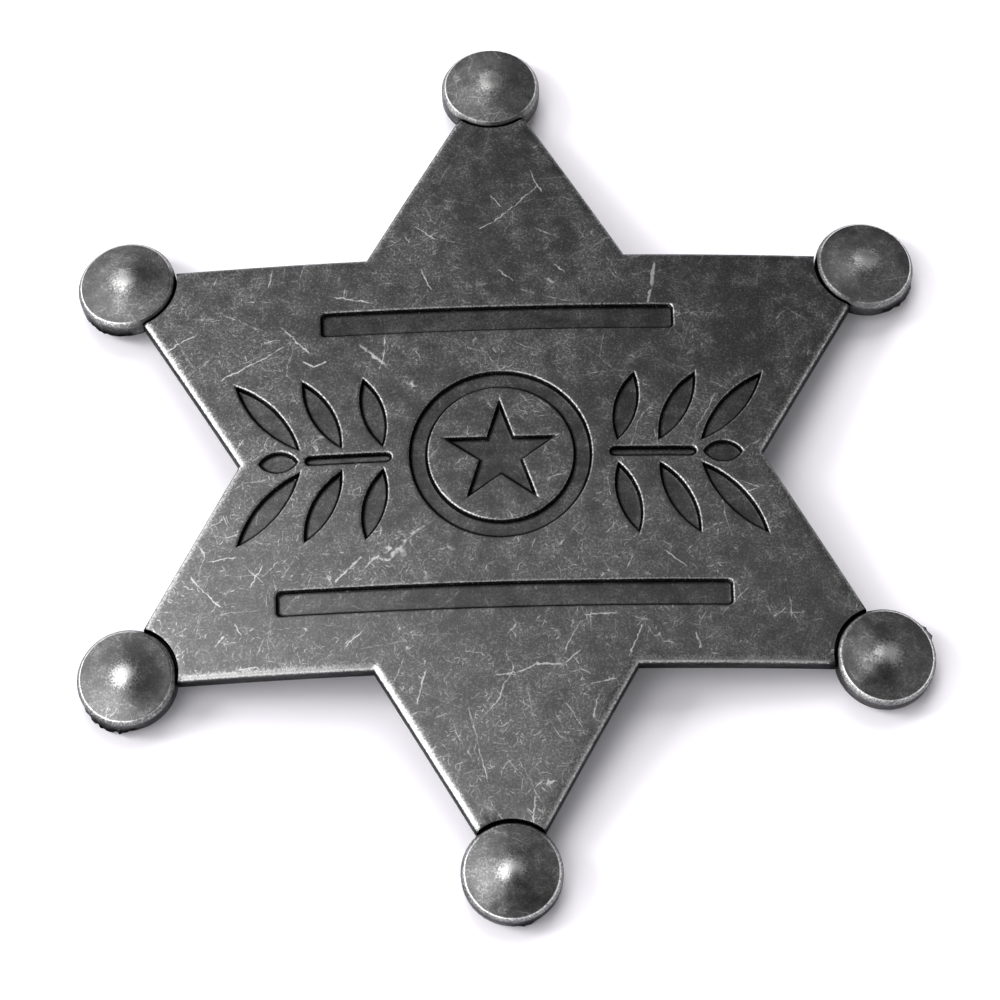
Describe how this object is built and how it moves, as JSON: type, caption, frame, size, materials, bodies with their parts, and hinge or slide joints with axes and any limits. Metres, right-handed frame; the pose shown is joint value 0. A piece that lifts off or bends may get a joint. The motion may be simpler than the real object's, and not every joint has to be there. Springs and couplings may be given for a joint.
{
  "type": "sheriff star badge",
  "caption": "Domed six-pointed star badge in antiqued grey metal, with crowned round tips, recessed bars and a recessed star and laurel ornament, and a brooch pin on its back.",
  "frame": {"origin": "middle of the badge seen from the front, on the surface that the feet of its six tip buttons rest on", "axes": "+Z out of the face, +Y towards the top point of the star, +X to the right as the face is seen"},
  "size_m": [0.0668, 0.076, 0.005],
  "materials": {
    "antiqued_plate": "antiqued grey cast metal, tumbled and finely scratched, nearly black in the recesses and bright on worn edges",
    "antiqued_button": "antiqued grey cast metal, polished on the crown and the rim",
    "plated_pin": "plain nickel-plated steel"
  },
  "bodies": {
    "root": {"star_plate": "antiqued_plate", "tip_button_top": "antiqued_button", "tip_button_upper_right": "antiqued_button", "tip_button_lower_right": "antiqued_button", "tip_button_bottom": "antiqued_button", "tip_button_lower_left": "antiqued_button", "tip_button_upper_left": "antiqued_button", "brooch_pin": "plated_pin"}
  },
  "joints": []
}
